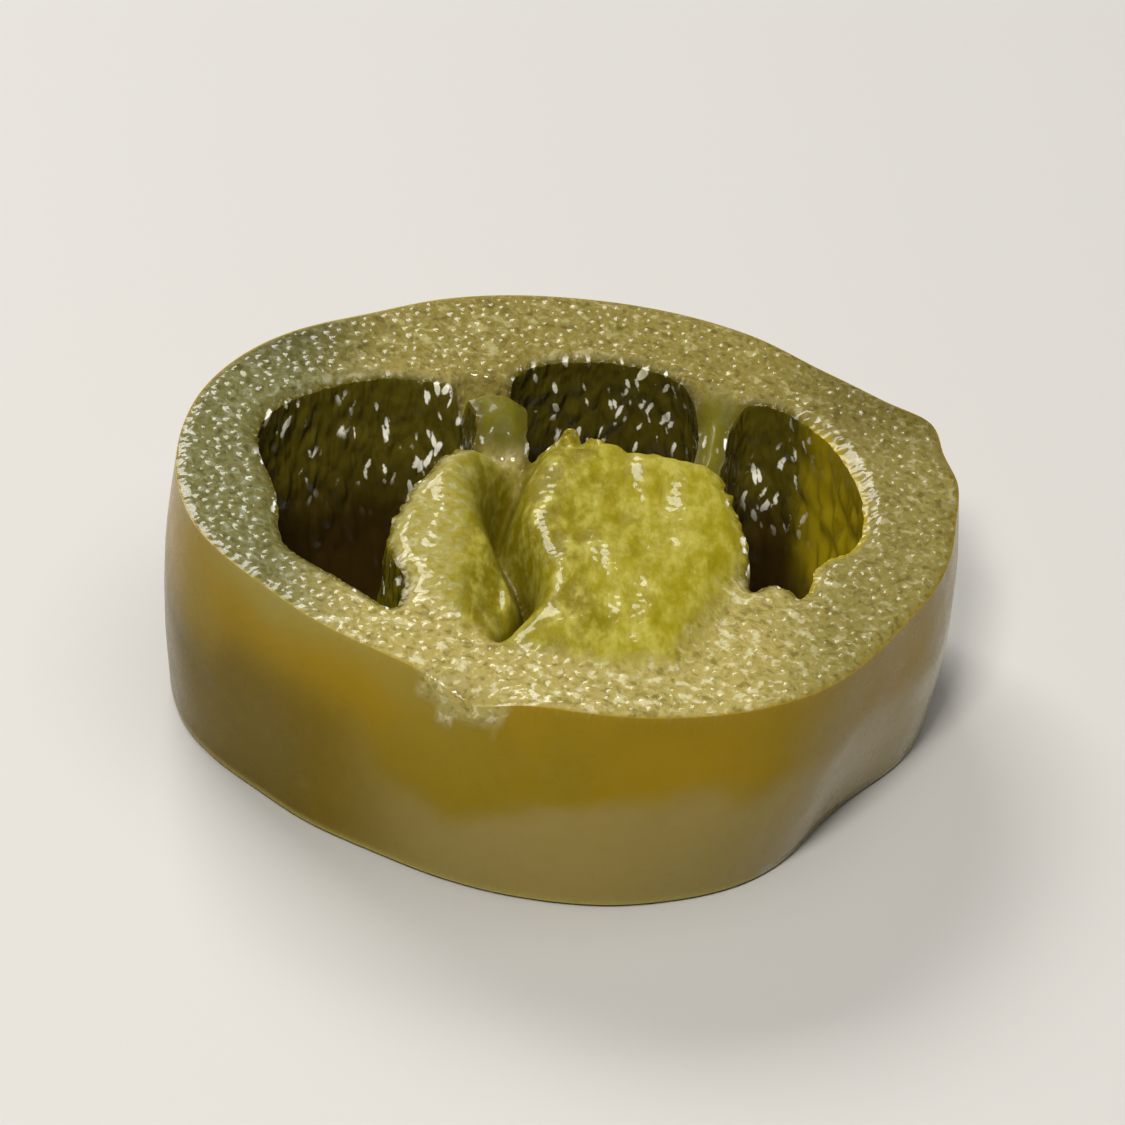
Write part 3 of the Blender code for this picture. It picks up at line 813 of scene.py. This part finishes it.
    def roughness(self):
        value = self.blend(self.middle, ROUGHNESS["flesh"], ROUGHNESS["middle"])
        value = self.blend(self.chamber, value, ROUGHNESS["chamber"])
        value = self.blend(self.membrane, value, ROUGHNESS["membrane"])
        return self.blend(self.skin, value, self.span(self.mottle, 0.3, 0.7, *ROUGHNESS["skin"]))

    def coat(self):
        """How wet each kind of surface is: the chambers most, but less at their rims."""
        value = self.blend(self.middle, COAT["flesh"], COAT["middle"])
        value = self.blend(self.crease, value, 0.0)
        value = self.blend(self.chamber, value, self.span(self.depth, *WET_DEPTH, *COAT["chamber"]))
        value = self.blend(self.membrane, value, COAT["membrane"])
        return self.blend(self.skin, value, self.blend(self.bloom, COAT["skin"], COAT["bloom"]))

    def normal(self):
        """Grains on the cut, streaks on the middle, upright ridges in the chambers."""
        grains = self.math("ADD", self.span(self.cell, 0.0, 0.7, 0.7, 0.0), self.both(self.specks, 0.5))
        grains = self.math("ADD", grains, self.both(self.flecks, 1.2))
        relief = self.blend(self.middle, grains, self.both(self.streak, 1.2))
        ridges = self.noise(self.scaled(self.place, 1, 1, RIDGE_SQUEEZE), RIDGE_SIZE, 1.0, 0.4)
        strength = self.blend(self.lit, self.span(self.depth, *RIDGE_DEPTH, 6.0, 0.5), 1.0)
        relief = self.blend(self.chamber, relief, self.both(ridges, strength))
        relief = self.blend(self.membrane, relief, self.both(self.streak, 0.8))
        relief = self.blend(self.skin, relief, self.both(self.specks, 0.02))
        inputs = {"Height": relief, "Strength": BUMP_STRENGTH, "Distance": BUMP_HEIGHT}
        return self.node("ShaderNodeBump", inputs).outputs["Normal"]


def pickled_pepper():
    s = Pepper("pickled_pepper")
    s.put(s.shader.inputs["Base Color"], s.colour())
    s.put(s.shader.inputs["Roughness"], s.roughness())
    s.put(s.shader.inputs["Coat Weight"], s.coat())
    s.put(s.shader.inputs["Normal"], s.normal())
    for name, value in WET_FLESH.items():
        s.put(s.shader.inputs[name], value)
    return s.material


FLOOR_COLOUR = (0.55, 0.54, 0.52, 1)
FLOOR_ROUGHNESS = 0.6
FLOOR_REACH = 1.5
FLOOR_DROP = 0.00005  # keeps it off the ring's own flat underside
SKY_COLOUR = (0.9, 0.93, 1.0, 1)
SKY_STRENGTH = 0.09
# Soft lights: name, place, aim, width, height, power in watts, colour.
LIGHTS = [
    ("back_window", (-0.20, 0.40, 0.36), (0, 0, 0.01), 0.30, 0.20, 2.4, (1.0, 0.98, 0.94)),
    ("key_box", (-0.08, -0.30, 0.40), (0, 0, 0), 0.10, 0.10, 1.85, (1.0, 0.97, 0.92)),
    ("top_box", (0.12, 0.0, 0.55), (0, 0, 0), 0.40, 0.40, 1.0, (1.0, 0.97, 0.92)),
]


def add(name, data):
    made = bpy.data.objects.new(name, data)
    bpy.context.scene.collection.objects.link(made)
    return made


def area_light(name, place, aim, width, height, power, colour):
    data = bpy.data.lights.new(name, "AREA")
    data.shape = "RECTANGLE"
    data.size = width
    data.size_y = height
    data.energy = power
    data.color = colour
    lamp = add(name, data)
    lamp.location = place
    lamp.rotation_euler = (Vector(aim) - Vector(place)).to_track_quat("-Z", "Y").to_euler()


def pale_floor():
    s = Shader("floor")
    s.put(s.shader.inputs["Base Color"], FLOOR_COLOUR)
    s.put(s.shader.inputs["Roughness"], FLOOR_ROUGHNESS)
    mesh = bpy.data.meshes.new("floor")
    corners = [(FLOOR_REACH * x, FLOOR_REACH * y, 0) for x, y in ((-1, -1), (1, -1), (1, 1), (-1, 1))]
    mesh.from_pydata(corners, [], [(0, 1, 2, 3)])
    mesh.materials.append(s.material)
    floor = add("floor", mesh)
    floor.location.z = -FLOOR_DROP
    return floor


def stage():
    floor = pale_floor()
    for light in LIGHTS:
        area_light(*light)
    world = bpy.data.worlds.new("studio")
    world.use_nodes = True
    sky = world.node_tree.nodes["Background"]
    sky.inputs["Color"].default_value = SKY_COLOUR
    sky.inputs["Strength"].default_value = SKY_STRENGTH
    bpy.context.scene.world = world
    bpy.context.scene.view_settings.view_transform = "Standard"


CAMERA_RISE = 32.7  # degrees above the cut face
CAMERA_ROLL = 5.0
CAMERA_DISTANCE = 0.35
CAMERA_NEAR = 0.01
SENSOR_WIDTH = 36  # millimetres, as the lens
FRAME_WIDTH = 0.046  # width that the view takes in at the ring
LOOK_AT = Vector((0.0, 0.0, 0.0062))


def camera():
    data = bpy.data.cameras.new("camera")
    data.sensor_width = SENSOR_WIDTH
    data.lens = SENSOR_WIDTH * CAMERA_DISTANCE / FRAME_WIDTH
    data.clip_start = CAMERA_NEAR
    made = add("camera", data)
    rise = math.radians(CAMERA_RISE)
    made.location = LOOK_AT + CAMERA_DISTANCE * Vector((0, -math.cos(rise), math.sin(rise)))
    level = Matrix.Rotation(math.pi / 2 - rise, 4, "X")
    made.rotation_euler = (level @ Matrix.Rotation(math.radians(CAMERA_ROLL), 4, "Z")).to_euler()
    bpy.context.scene.camera = made


ring = add("ring", ring_mesh())
ring.data.materials.append(pickled_pepper())
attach(ring, "root")
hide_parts(NODE)
stage()
camera()
